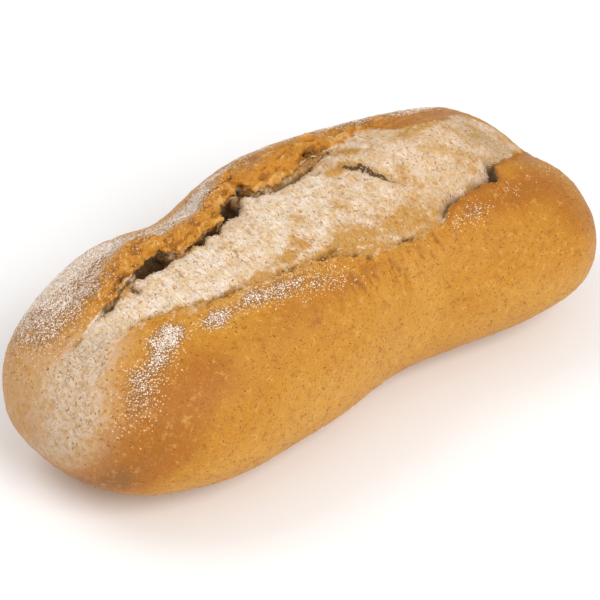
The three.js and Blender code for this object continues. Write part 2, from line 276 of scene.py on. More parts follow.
def loaf_rings(x, underside=5, front_flank=48, back_flank=28, lip=36, crumb=84):
    """The loaf's skin, ring by ring: place, arc, lift of the split's own forms, and distance over the
    skin past the front and back edges. The numbers are points of a ring in each part of the skin."""
    sinking_power, roll_reach, far_off = 1.7, 9.0, 60.0
    normal_reach, fade_height = 2.5, 12.0
    full = fullness(x)
    front_out, front_z, front_arc, front_contact = outline_side(x, front_half_width, front_swells)
    back_out, back_z, back_arc, back_contact = outline_side(x, back_half_width, back_swells)
    front_edge, back_edge = split_edges(x, full)
    front = lip_skin(x, full, front_edge, 1, front_lip, front_lip_section(x), lip)
    back = lip_skin(x, full, back_edge, -1, back_lip, back_lip_section(x), lip)
    start, end = front[0][:, -1:], back[0][:, -1:]
    inside = start + (end - start) * np.linspace(0, 1, crumb + 2)[1:-1]
    crumb_lift = 0 * inside
    for lip_side, distance in ((front_lip, inside - start), (back_lip, end - inside)):
        gap, depth, _ = gaping(x, lip_side)
        shoulder = (0.5 * gap + lip_side["shoulder"])[:, None]
        crumb_lift -= ((depth * openness(x, lip_side))[:, None]
                       * np.exp(-((np.maximum(distance, 0) / shoulder) ** sinking_power)))

    def crust(middle, contact, lip_start, flank):
        under = middle[:, None] + (contact - middle)[:, None] * np.arange(underside) / underside
        side = contact[:, None] + (lip_start - contact)[:, None] * np.arange(flank) / flank
        return np.concatenate([under, side], axis=1)

    front_crust = -crust(front_arc[:, -1], front_contact, -front[0][:, 0], front_flank)
    back_crust = crust(back_arc[:, -1], back_contact, back[0][:, 0], back_flank)
    back_roll = (0.25 * back_lip["rise"] * openness(x, back_lip)[:, None]
                 * np.exp(-np.maximum(back_crust - back[0][:, :1], 0) / roll_reach))
    arc = np.concatenate([front_crust, front[0], inside, back[0][:, ::-1], back_crust[:, :0:-1]], axis=1)
    split_lift = np.concatenate([
        0 * front_crust, front[1], crumb_lift, back[1][:, ::-1], back_roll[:, :0:-1]], axis=1)
    past_front = np.concatenate([
        front_crust - front[0][:, :1] + shut_section[0], front[2], inside - start + front[2][:, -1:],
        np.full_like(back[2], far_off), np.full_like(back_crust[:, 1:], far_off),
    ], axis=1)
    past_back = np.concatenate([
        np.full_like(front_crust, far_off), np.full_like(front[2], far_off), end - inside + back[2][:, -1:],
        back[2][:, ::-1], (back[0][:, :1] - back_crust + shut_section[0])[:, :0:-1],
    ], axis=1)

    # Each point is lifted square to the outline, less and less towards the stone
    lift = split_lift + broad_form(x[:, None], arc)
    place = np.zeros(arc.shape + (3,))
    for i in range(len(x)):
        arcs = np.concatenate([-front_arc[i, :0:-1], back_arc[i]])
        ys = np.concatenate([-front_out[i, :0:-1], back_out[i]])
        zs = np.concatenate([front_z[i, :0:-1], back_z[i]])
        y, z = np.interp(arc[i], arcs, ys), np.interp(arc[i], arcs, zs)
        dy = np.interp(arc[i] + normal_reach, arcs, ys) - np.interp(arc[i] - normal_reach, arcs, ys)
        dz = np.interp(arc[i] + normal_reach, arcs, zs) - np.interp(arc[i] - normal_reach, arcs, zs)
        off = lift[i] * np.clip(z / fade_height, 0, 1) / (np.hypot(dy, dz) + 1e-9)
        place[i] = np.stack([np.full_like(y, x[i]), y - dz * off, np.maximum(z + dy * off, 0)], axis=1)
    return place, arc, split_lift, past_front, past_back


# ---------------------------------------------------------------------------------------------
# The loaf's skin: one closed skin over crust, lips, crevices and crumb. The crust is smooth with soft
# hollows, the curled back lip is flaky, and the torn crumb is rough with strands and pits.
# Each point also keeps how torn, baked, toasted, floured and sunk it is, for the finish, which paints shade
# where it lies sunk or low.
# ---------------------------------------------------------------------------------------------
ring_count = 400
box_margin = 0.35     # room for the grains and flakes on the skin, inside the loaf's own size
stone_fade = 6.0      # height over which the relief fades out towards the stone
noise_step = 13.7     # moves each pattern of noise to another place

# How deep each kind of relief is, on the crust, on the crumb and on the flaky lip
hollow_depth, dimple_depth, wrinkle_depth, streak_depth = 0.5, 0.24, 0.22, 0.4
lump_depth, strand_depth, pit_depth, groove_depth, lip_crumb_depth = 0.25, 0.3, 0.45, 0.9, 1.6
flake_depth = 1.3
wrinkle_spacing = 5.2

# Places on the skin: x, spread along x, arc, spread along the arc, and strength, or depth for the nicks
# and the crease
flour_patches = [
    (-83, 18, 36, 11, 1.5), (-104, 11, 38, 11, 1.2), (-54, 13, 24, 9, 0.6), (-30, 12, 34, 9, 1.2),
    (-103, 16, 16, 12, 0.75), (-121, 8, 18, 16, 0.35), (-88, 6, -30, 4.6, 1.3), (-95, 5, -36, 5.5, 0.4),
    (-104, 8, -37, 6.5, 0.36), (-112, 8, -44, 7.5, 0.3), (-67, 6, -34.5, 3.6, 0.8), (-50, 8, -35.5, 4, 0.5),
    (-37, 8, -38, 4.4, 0.5), (-25, 9, -41.5, 5, 0.33), (-14, 9, -46, 5.5, 0.2), (61, 7, -49, 3.5, 0.32),
    (50, 3, -50, 3, 0.25), (84, 4, -46, 2.5, 0.16), (97, 9, -43, 4, 0.05), (117, 8, -38, 5, 0.04),
    (62, 20, 38, 7, 0.8), (92, 14, 26, 6, 0.8), (20, 18, 46, 6, 0.6), (-12, 12, 44, 6, 0.7),
]
haze_patches = [
    (-132, 13, -26, 17, 0.85), (-115, 12, -15, 8, 1.3), (-126, 9, -22, 10, 0.7), (-130, 16, 8, 22, 0.35),
]
# Darker patches: deeper bake on the crust, darker at the foot of the near end, and painted shade on the far
# right of the crumb
deep_bake_and_shade_patches = [
    (-92, 22, -52, 16, 0.6), (-42, 26, -50, 9, 0.4), (84, 26, -48, 8, 0.7), (66, 14, -46, 4, 0.5),
    (-2, 20, -50, 5, 0.5), (80, 38, 14, 13, 0.8), (-20, 60, 24, 14, 0.35), (-118, 20, 30, 30, 0.3),
    (112, 34, -62, 26, 0.5), (-118, 22, -68, 20, 0.8), (-138, 18, -62, 20, 0.7), (100, 26, -16, 16, 1.2),
    (-55, 70, -66, 20, 0.15), (-104, 10, -40, 10, 0.35),
]
toast_patches = [
    (3, 9, -34, 6, 1.1), (-42, 4, -8, 3, 0.6), (-16, 5, -24, 4, 0.8), (37, 9, -41, 2.2, 1.0),
    (-32, 24, -28, 3.5, 0.6), (22, 22, -38, 4, 0.6), (-8, 4, -12, 4, 0.5), (-68, 5, -14, 4, 0.35),
    (-14, 8, -35.5, 2.2, 1.2), (-59, 9, -29, 2.0, 1.1), (72, 16, 0, 5, 0.4), (25, 7, 2, 5, 0.35),
    (-54, 5, 2, 3, 0.9), (-85, 5, 1, 4, 0.9), (-83, 6, -25, 2.0, 0.9), (26, 4, 1.5, 2.2, 1.3),
    (38, 4, 5, 3, 0.7), (10, 12, -20, 6, 0.35), (-101, 4, -21, 2, 0.7), (30, 20, -32, 8, 0.35),
    (-24, 5, -27, 3, 0.6),
]
nicks = [
    (-83, 1.3, -1, 4, 2.6), (-114, 1.4, -20.5, 1.6, 1.8), (-116.5, 1.0, -22.5, 1.4, 1.4),
    (-126, 5, -21, 1.0, 0.7), (7, 2.8, 31.5, 2.2, 2.6), (17.5, 2.0, 29.5, 1.4, 2.0), (23, 1.8, 32, 2.0, 1.8),
    (23.5, 1.5, 17.5, 1.5, 2.4), (27.5, 1.0, 17, 1.4, 2.2), (34, 3.2, 9.5, 1.0, 2.6),
    (19.7, 1.5, 6, 0.9, 2.2), (7.5, 3, 8, 1.0, 1.6), (12, 3, 0, 0.7, 0.9), (-115, 3.0, -5.5, 1.0, 1.6),
    (-59, 9, -27.3, 0.8, 1.0), (-7, 4, -35, 0.9, 1.5), (6, 1.4, -44.5, 1.6, 1.8),
    (14.5, 1.0, -51, 2.2, 0.8), (16, 1.0, -55, 2.4, 1.0), (17.8, 1.0, -59, 2.4, 0.8),
    (4, 0.9, -53, 3.0, 0.6), (29, 0.9, -52, 3.0, 0.6), (38, 0.9, -51, 2.4, 0.5),
]
waist_crease = (8, 5, -91, 14, 0.8)


def cloud(points, size, seed, octaves=3, roughness=1.0, stretch=(1, 1, 1), turn=0.0):
    """Cloudy noise, mostly from -1 to 1, with features of about that size, turned about the vertical."""
    across = np.array([[math.cos(turn), -math.sin(turn), 0], [math.sin(turn), math.cos(turn), 0], [0, 0, 1]])
    scaled = ((points @ across) * np.array(stretch) / size + noise_step * seed).reshape(-1, 3).tolist()
    values = [noise.fractal(p, roughness, 2.0, octaves) for p in scaled]
    return np.array(values).reshape(points.shape[:-1])


def pores(points, size, seed, least=-0.55, full=-0.15):
    """1 at the middle of scattered pits of about that size, 0 between them."""
    scaled = (points / size + noise_step * seed).reshape(-1, 3).tolist()
    distances = np.array([noise.voronoi(p)[0][0] for p in scaled]).reshape(points.shape[:-1])
    return ease(-distances, least, full)


def grid_normals(place):
    along = np.gradient(place, axis=0)
    around = np.roll(place, -1, axis=1) - np.roll(place, 1, axis=1)
    normal = np.cross(along, around)
    return normal / (np.linalg.norm(normal, axis=2, keepdims=True) + 1e-9)


def torn_share(x, place, past_front, past_back):
    """1 on torn crumb, 0 on crust: sharp at an open lip, and in ragged blotches where it is shut."""
    fine, coarse = cloud(place, 2.2, 1, 4, 0.7), cloud(place, 8.0, 2)
    share = 1.0
    for past, lip in ((past_front, front_lip), (past_back, back_lip)):
        opened = openness(x, lip)[:, None]
        under_lip = 2.2 * opened
        wander = (0.6 * fine) * opened + (2.3 * fine + 2.6 * coarse) * (1 - opened)
        half_blend = 0.6 * opened + 1.2 * (1 - opened)
        share = share * ease((past - under_lip + wander) / half_blend, -1, 1)
    crusted_tips = 0.85 * ease(-x, 122, 135) + 0.9 * ease(x, 129, 138)
    return share * (1 - crusted_tips)[:, None]


x_rings = ring_places(ring_count)
skin, skin_arc, split_lift, past_front, past_back = loaf_rings(x_rings)
x_of, open_front, open_back = (v[:, None] for v in
                               (x_rings, openness(x_rings, front_lip), openness(x_rings, back_lip)))


def patches(rows):
    return sum(s * bell(x_of, fx, sx) * bell(skin_arc, fa, sa) for fx, sx, fa, sa, s in rows)


torn = torn_share(x_rings, skin, past_front, past_back)

# The crumb: lumps, crossing strands, tufts and pits, with a groove along the foot of the step, and
# coarse crumbs on the wall under the back lip
lumps = cloud(skin, 10.0, 3, 2)
grain = cloud(skin, 1.7, 4, 3, 0.6)
strands = sum(1 - 2.4 * np.abs(cloud(skin, 2.6, seed, 3, 0.7, (0.32, 1, 1), turn))
              for seed, turn in ((5, 0.5), (6, -0.6))) / 2
tufts = cloud(skin, 3.2, 7, 4, 0.5)
pits = pores(skin + 1.2 * tufts[..., None], 6.0, 11)
past_tear = x_of - smooth_line(tear, -skin_arc) + 1.2 * cloud(skin, 7.0, 13, 2)
cracked = ease(skin_arc, -26, -13) * (1 - ease(skin_arc, 0, 3))
groove = bell(past_tear, -0.5, 0.8) * cracked
lip_face = bell(past_back, 12, 5) * open_back * torn * (skin_arc > -5)
crumbs = cloud(skin, 2.8, 15, 4, 0.5)

# The crust: soft hollows and dimples, with wrinkles and stretch marks where the waist pulled it
crust_hollows = cloud(skin, 30.0, 8, 2)
crust_dimples = cloud(skin, 4.5, 9, 3)
wrinkles = (np.sin(2 * np.pi * (x_of + 0.15 * skin_arc + 1.5 * crust_dimples) / wrinkle_spacing)
            * bell(x_of, 16, 14) * bell(skin_arc, -63, 10))
across_skin = np.stack([x_of + 0 * skin_arc, 0.13 * skin_arc, 0 * skin_arc], axis=2)
streaks = (ease(-np.abs(cloud(across_skin, 5.0, 14, 3)), -0.1, 0)
           * np.minimum(1.4 * bell(x_of, 14, 30) * bell(skin_arc, -53, 9), 1) * (1 - torn))

# The flakes of the curled back lip, and of the crust beyond its end
flakes = 1 - 2.6 * np.abs(cloud(skin, 6.0, 10, 5, 0.7, (0.4, 1, 1), 0.15))
curl = open_back * ease(past_back, -16, -7) * (1 - torn) * (skin_arc > 0)
flaky = np.maximum(curl, np.minimum(patches([(12, 26, 28, 15, 1.2), (62, 28, 24, 13, 0.9)]), 1) * (1 - torn))
flaky_relief = flakes + 0.5 * tufts + 0.5 * cloud(skin, 2.4, 16, 2, 1.0, (0.6, 1, 1))

# The front edge where it is shut: a frayed rim of crust, with a furrow behind it
fray = past_front + 1.5 * tufts
frayed = ((1 - open_front) * ease(x_of, -104, -88) * ease(-x_of, -130, -115)
          * np.clip(1 + 1.6 * lumps, 0, 2))
edge_relief = frayed * (1.2 * bell(fray, -0.7, 1.2) - 0.9 * bell(fray, 1.8, 0.8))

# All of the relief, which fades out towards the stone
gritty = np.clip(patches(haze_patches) + patches(flour_patches), 0, 1)
crust_relief = (hollow_depth * crust_hollows + dimple_depth * crust_dimples + wrinkle_depth * wrinkles
                + 0.08 * grain - streak_depth * streaks
                + gritty * (0.16 * grain + 0.14 * tufts) - patches([waist_crease]))
crumb_relief = (lump_depth * lumps + 0.15 * tufts + strand_depth * strands + 0.1 * grain
                - pit_depth * pits * (lumps > 0) - groove_depth * groove
                + lip_crumb_depth * lip_face * crumbs)
relief = (mix(crust_relief, crumb_relief, torn) + flake_depth * flaky * flaky_relief + edge_relief
          - patches(nicks) * (1 + 0.4 * tufts))
off_stone = np.clip(skin[..., 2] / stone_fade, 0, 1)
skin = skin + grid_normals(skin) * (relief * off_stone)[..., None]
skin[..., 2] = np.maximum(skin[..., 2], 0)

# The skin is brought inside the loaf's own size, with a little room for what lies on it, and its
# underside stays on the stone
low, high = skin.min(axis=(0, 1)), skin.max(axis=(0, 1))
lowest = np.array(loaf_low) / mm + np.array([box_margin, box_margin, 0])
highest = np.array(loaf_high) / mm - box_margin
skin = lowest + (skin - low) * (highest - lowest) / (high - low)

# How deep each point lies in a pocket, a nick, a groove, the furrow behind the frayed rim or the wall under
# the back lip; the finish paints this as dark shade
sunk_shade = ease(-split_lift, 0.8, 5.4) * mix(0.75, 1, ease(skin_arc, -30, -20))
sunk_shade = np.maximum(sunk_shade, 0.3 * groove)
sunk_shade = np.maximum(sunk_shade, np.clip(0.45 * patches(nicks), 0, 0.8))
sunk_shade = np.maximum(sunk_shade, 0.5 * frayed * bell(fray, 1.9, 0.6) * ease(lumps + tufts, 0, 0.5))
sunk_shade = np.maximum(sunk_shade, lip_face * (0.15 + 0.65 * ease(-crumbs, -0.15, 0.4)))

# How floured, toasted and baked each point is; the bake layer also carries painted shade on the crumb beside
# the front crevice and on the far right
clumps = cloud(skin, 6.0, 12, 3, 0.7)
flour = np.clip(patches(flour_patches) * (1 + 0.55 * clumps), 0, 1) * (1 - 0.6 * torn) * (1 - sunk_shade)
haze = np.clip(patches(haze_patches) * (1 + 0.4 * clumps), 0, 1)
near_edge = bell(past_front + 2 * lumps, 0.8, 2.0) * (1 - open_front) * ease(x_of, -112, -92)
toast = np.clip((patches(toast_patches) + 0.9 * near_edge + 0.7 * lip_face) * (1 + 0.9 * tufts)
                + 0.15 * ease(x_of, -70, -30) + 0.3 * ease(x_of, 0, 60) + 0.3 * ease(lumps, 0.1, 0.6), 0, 1)
# Painted shade on the crumb beside the front crevice and on the wall under the back lip
shaded_crumb = bell(past_front, 14, 5) * open_front * torn + 0.1 * lip_face
bake_and_shade = np.clip(0.3 + 0.2 * crust_hollows + patches(deep_bake_and_shade_patches) + 0.12 * flaky + 0.9 * shaded_crumb
               + 0.9 * streaks + 0.6 * bell(past_front, -1, 2) * open_front
               - 0.2 * ease(-skin_arc, 72, 96), 0, 2)

# How high each point stands out: rims, flakes and threads are painted paler than the skin round them, and
# low spots darker as painted shade
pale_rim = bell(past_back, 0.2, 0.7) * open_back * (skin_arc > -5)
paler = patches([(12.5, 3.5, 28.5, 3, 0.8), (31, 3, 27, 2.5, 0.8), (44, 9, 21, 4, 0.5)])
crust_rise = flaky * (flaky_relief - 0.5) + 0.3 * pale_rim + paler
height_and_shade = np.clip(0.5 + 0.6 * mix(crust_rise, crumb_relief, torn), 0, 1)


def closed_skin(name, rings):
    """A mesh of closed rings, with a fan of faces at each tip."""
    count, columns = rings.shape[:2]
    ids = np.arange(count * columns).reshape(count, columns)
    nxt = np.roll(ids, -1, axis=1)
    quads = np.stack([ids[:-1], ids[1:], nxt[1:], nxt[:-1]], axis=2).reshape(-1, 4).tolist()
    near, far = count * columns, count * columns + 1
    fans = [(near, a, b) for a, b in zip(ids[0].tolist(), nxt[0].tolist())]
    fans += [(far, b, a) for a, b in zip(ids[-1].tolist(), nxt[-1].tolist())]
    tips = [rings[0].mean(axis=0), rings[-1].mean(axis=0)]
    mesh = bpy.data.meshes.new(name)
    mesh.from_pydata(np.concatenate([rings.reshape(-1, 3), tips]).tolist(), [], quads + fans)
    mesh.shade_smooth()
    obj = bpy.data.objects.new(name, mesh)
    scene.collection.objects.link(obj)
    return obj


def keep_on_points(obj, name, values):
    both_tips = [values[0].mean(), values[-1].mean()]
    layer = obj.data.attributes.new(name, "FLOAT", "POINT")
    layer.data.foreach_set("value", np.concatenate([values.ravel(), both_tips]).astype(np.float32))


loaf = closed_skin("country_bread", skin * mm)

# Layers that the finish reads, and where the bran and the shreds lie
bran = mix(0.8, 1.0, torn) * (1 - 0.8 * sunk_shade) * off_stone * ease(-np.abs(x_of), -137, -132)
shredded = (torn * (0.4 + 1.2 * bell(past_back, 17, 3.5) * open_back + patches([(24, 3, 6, 3, 3.0)]))
            * (1 - sunk_shade) * ease(past_back, 8, 12))
for name, values in (("torn", torn), ("bake_and_shade", bake_and_shade), ("toast", toast), ("flour", flour), ("haze", haze),
                     ("sunk_shade", sunk_shade), ("height_and_shade", height_and_shade), ("flaky", flaky), ("cracked", cracked * torn),
                     ("past_tear", np.clip(past_tear, -5, 5)), ("bran", bran), ("shredded", shredded)):
    keep_on_points(loaf, name, values)


# ---------------------------------------------------------------------------------------------
# The loaf's finish. The crust is honey to golden brown, deeper where it was torn open, with a veil of
# flour. The crumb is pale beige, toasted in patches and fibrous. Shade is painted in: dark brown where the
# skin lies deep, and darker in low spots.
# ---------------------------------------------------------------------------------------------
def tone(red, green, blue):
    """A colour given as the eye sees it, from 0 to 255."""
    return tuple(c / 3294.6 if c <= 10.31 else ((c / 255 + 0.055) / 1.055) ** 2.4
                 for c in (red, green, blue)) + (1.0,)


def new_finish(name):
    material = bpy.data.materials.new(name)
    material.use_nodes = True
    return material, material.node_tree, material.node_tree.nodes["Principled BSDF"]


def add(tree, kind, inputs, output=0, **settings):
    """Adds a node, fills its inputs with values or links, and returns one of its outputs."""
    made = tree.nodes.new(kind)
    for name, value in settings.items():
        setattr(made, name, value)
    for key, value in inputs.items():
        if isinstance(value, bpy.types.NodeSocket):
            tree.links.new(value, made.inputs[key])
        else:
            made.inputs[key].default_value = value
    return made.outputs[output]


def layer(tree, name):
    return add(tree, "ShaderNodeAttribute", {}, "Fac", attribute_name=name)


def speckle(tree, place, size, detail=3.0, roughness=0.5):
    """Cloudy pattern around 0.5 with features of about that size in millimetres."""
    return add(tree, "ShaderNodeTexNoise", {
        "Vector": place, "Scale": 1 / (size * mm), "Detail": detail, "Roughness": roughness}, "Fac")


def between(tree, value, start, end, low=0.0, high=1.0):
    return add(tree, "ShaderNodeMapRange", {
        "Value": value, "From Min": start, "From Max": end, "To Min": low, "To Max": high,
    }, interpolation_type="SMOOTHSTEP")


def math_of(tree, operation, *values):
    return add(tree, "ShaderNodeMath", dict(enumerate(values)), operation=operation)


def blend(tree, share, first, second):
    return add(tree, "ShaderNodeMix", {"Factor": share, "A": first, "B": second}, "Result",
               data_type="RGBA")


crust_and_crumb, tree, surface = new_finish("crust_and_crumb")
place = add(tree, "ShaderNodeTexCoord", {}, "Object")
torn_layer, bake_and_shade_layer, toast_layer, flour_layer, haze_layer, sunk_shade_layer, height_and_shade_layer, flaky_layer = (
    layer(tree, name) for name in ("torn", "bake_and_shade", "toast", "flour", "haze", "sunk_shade", "height_and_shade", "flaky"))

# Crust: honey, golden brown where it baked harder, darker at the foot of the near end, mottled, specked,
# paler on its flakes and rims, and darker as painted shade in its low spots
mottle = speckle(tree, place, 1.8, 5.0, 0.65)
clouds = speckle(tree, place, 16, 3.0)
specks = speckle(tree, place, 0.7, 2.0, 0.6)
crust_darkening = math_of(tree, "ADD", bake_and_shade_layer, math_of(tree, "MULTIPLY", clouds, 0.6))
crust_darkening = math_of(tree, "ADD", crust_darkening, math_of(tree, "MULTIPLY", mottle, 0.4))
crust_tone = blend(tree, between(tree, crust_darkening, 0.5, 1.0), tone(202, 145, 55), tone(192, 129, 31))
crust_tone = blend(tree, between(tree, crust_darkening, 0.95, 1.6), crust_tone, tone(172, 104, 18))
crust_tone = blend(tree, between(tree, crust_darkening, 1.6, 2.2), crust_tone, tone(140, 90, 30))
crust_tone = blend(tree, between(tree, mottle, 0.52, 0.72, 0.0, 0.3), crust_tone, tone(216, 164, 92))
crust_tone = blend(tree, between(tree, mottle, 0.46, 0.30, 0.0, 0.4), crust_tone, tone(166, 100, 30))
crust_tone = blend(tree, math_of(tree, "MULTIPLY", flaky_layer, 0.6), crust_tone, tone(222, 148, 46))
blotches = speckle(tree, place, 3.5, 4.0, 0.7)
crust_tone = blend(tree, between(tree, blotches, 0.46, 0.30, 0.0, 0.7), crust_tone, tone(160, 96, 26))
crust_tone = blend(tree, between(tree, blotches, 0.54, 0.70, 0.0, 0.5), crust_tone, tone(220, 166, 84))
crust_tone = blend(tree, between(tree, specks, 0.59, 0.66, 0.0, 0.75), crust_tone, tone(136, 78, 26))
# Painted shade in the crust's low spots; its high rims and flakes paler
crust_tone = blend(tree, between(tree, height_and_shade_layer, 0.3, 0.0, 0.0, 0.65), crust_tone, tone(140, 80, 22))
crust_tone = blend(tree, between(tree, height_and_shade_layer, 0.6, 0.95, 0.0, 0.7), crust_tone, tone(232, 182, 106))

# Crumb: pale threads over tan, toasted in patches, with painted shade: grey-brown beside the front crevice
# and on the far right, and browner in the low spots of its relief and fibres
fibre_ways = [add(tree, "ShaderNodeMapping", {"Vector": place, "Rotation": turn, "Scale": (1, 0.3, 1)})
              for turn in ((0.2, 0.1, 1.0), (0.3, -0.2, 2.2))]
fibre = math_of(tree, "MULTIPLY", math_of(tree, "ADD", *(
    speckle(tree, way, 1.3, 4.0, 0.65) for way in fibre_ways)), 0.5)
thread_lines = [math_of(tree, "ABSOLUTE", math_of(tree, "SUBTRACT", speckle(tree, way, 2.2, 3.0, 0.5), 0.5))
                for way in fibre_ways]
threads = between(tree, math_of(tree, "MINIMUM", *thread_lines), 0.045, 0.0)
crumb_tone = blend(tree, between(tree, speckle(tree, place, 6, 4.0, 0.65), 0.38, 0.62), tone(243, 223, 202),
                   tone(228, 197, 154))
crumb_tone = blend(tree, between(tree, fibre, 0.47, 0.36, 0.0, 0.55), crumb_tone, tone(208, 164, 108))
crumb_tone = blend(tree, math_of(tree, "MULTIPLY", threads, 0.4), crumb_tone, tone(246, 234, 220))
# Painted shade: the crumb turns grey-brown where the bake layer holds shade
crumb_tone = blend(tree, between(tree, bake_and_shade_layer, 0.7, 1.5, 0.0, 0.75), crumb_tone, tone(192, 166, 130))
toasted = math_of(tree, "MULTIPLY", math_of(tree, "ADD", fibre, speckle(tree, place, 2.5, 4.0, 0.7)), 0.7)
toasted = math_of(tree, "ADD", toast_layer, toasted)
crumb_tone = blend(tree, between(tree, toasted, 0.8, 1.85), crumb_tone, tone(202, 148, 70))
# Painted shade: browner in the low spots of the crumb's relief and fibres
crumb_tone = blend(tree, between(tree, math_of(tree, "ADD", height_and_shade_layer, fibre), 0.62, 0.25), crumb_tone,
                   tone(190, 146, 92))
for way, size in zip(fibre_ways * 2, (0.8, 1.1, 1.8, 2.2)):
    crumb_flecks = between(tree, speckle(tree, way, size, 2.0, 0.5), 0.64, 0.7, 0.0, 0.6)
    crumb_tone = blend(tree, crumb_flecks, crumb_tone, tone(178, 130, 76))

# The crack at the foot of the step: a thin wandering line of painted shade, under a tan edge
cracked_layer = layer(tree, "cracked")
wander = between(tree, speckle(tree, place, 3.0, 3.0, 0.5), 0.2, 0.8, -0.6, 0.6)
past_crack = math_of(tree, "ADD", layer(tree, "past_tear"), wander)
torn_edge = math_of(tree, "MULTIPLY", between(tree, past_crack, 0.0, 0.5),
                    between(tree, past_crack, 3.0, 0.9))
torn_edge = math_of(tree, "MULTIPLY", torn_edge, cracked_layer)
crumb_tone = blend(tree, math_of(tree, "MULTIPLY", torn_edge, 0.55), crumb_tone, tone(204, 154, 84))
from_crack = math_of(tree, "ABSOLUTE", math_of(tree, "ADD", past_crack, 0.4))
crack_shade = between(tree, math_of(tree, "SUBTRACT", from_crack, math_of(tree, "MULTIPLY", cracked_layer, 0.65)),
                0.0, -0.3)

# Crust and crumb together, with painted shade: dark in the crack, and dark brown where the skin lies deep in
# a pocket
body_tone = blend(tree, torn_layer, crust_tone, crumb_tone)
body_tone = blend(tree, math_of(tree, "MULTIPLY", crack_shade, 0.9), body_tone, tone(96, 60, 24))
pocket_shade_tone = blend(tree, speckle(tree, place, 4, 3.0), tone(36, 20, 6), tone(104, 66, 24))
body_tone = blend(tree, math_of(tree, "MULTIPLY", sunk_shade_layer, 0.92), body_tone, pocket_shade_tone)

# Flour: a haze on the near end, and specks where it lies in patches, with brown between them darkened as
# painted shade among the grains
haze = math_of(tree, "MULTIPLY", haze_layer, between(tree, speckle(tree, place, 2.5, 5.0, 0.7), 0.36, 0.6))
body_tone = blend(tree, math_of(tree, "MULTIPLY", haze_layer, 0.75), body_tone, tone(200, 168, 128))
body_tone = blend(tree, math_of(tree, "MULTIPLY", haze, 0.8), body_tone, tone(222, 200, 178))
grit = between(tree, speckle(tree, place, 1.1, 3.0, 0.6), 0.56, 0.66)
grit = math_of(tree, "MULTIPLY", haze_layer, grit)
body_tone = blend(tree, math_of(tree, "MULTIPLY", grit, 0.8), body_tone, tone(158, 116, 68))
dust = speckle(tree, place, 0.55, 2.0, 0.6)
brown_and_shade_between_flour = math_of(tree, "MULTIPLY", between(tree, flour_layer, 0.05, 0.45),
                   between(tree, dust, 0.58, 0.48, 0.45, 1.0))
body_tone = blend(tree, math_of(tree, "MULTIPLY", brown_and_shade_between_flour, 0.9), body_tone, tone(142, 94, 42))
flour_specks = between(tree, math_of(tree, "ADD", dust, math_of(tree, "MULTIPLY", flour_layer, 0.25)),
                       0.71, 0.76)
flour_specks = math_of(tree, "MULTIPLY", flour_specks, between(tree, flour_layer, 0.02, 0.15))
body_tone = blend(tree, math_of(tree, "MULTIPLY", flour_specks, 0.85), body_tone, tone(240, 228, 216))
tree.links.new(body_tone, surface.inputs["Base Color"])
matt = math_of(tree, "MAXIMUM", torn_layer, math_of(tree, "MAXIMUM", flour_specks, haze))
tree.links.new(between(tree, matt, 0.0, 1.0, 0.46, 0.95), surface.inputs["Roughness"])
surface.inputs["Specular IOR Level"].default_value = 0.28

# The finest relief of all, under a millimetre deep
crust_height = math_of(tree, "ADD", mottle, math_of(tree, "MULTIPLY", specks, -0.4))
crumb_fuzz = math_of(tree, "ADD", fibre, math_of(tree, "MULTIPLY", threads, 0.3))
fine_height = add(tree, "ShaderNodeMix", {
    "Factor": torn_layer, "A": crust_height, "B": crumb_fuzz}, "Result")
fine_height = math_of(tree, "ADD", fine_height, math_of(tree, "MULTIPLY", flour_specks, 0.5))
bump_depth = math_of(tree, "MAXIMUM", between(tree, matt, 0.0, 1.0, 0.5, 0.9), haze_layer)
bump_depth = math_of(tree, "MAXIMUM", bump_depth, flaky_layer)
tree.links.new(add(tree, "ShaderNodeBump", {
    "Strength": bump_depth, "Distance": 0.9 * mm, "Height": fine_height}), surface.inputs["Normal"])
loaf.data.materials.append(crust_and_crumb)
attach(loaf, "root")
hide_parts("loaf")


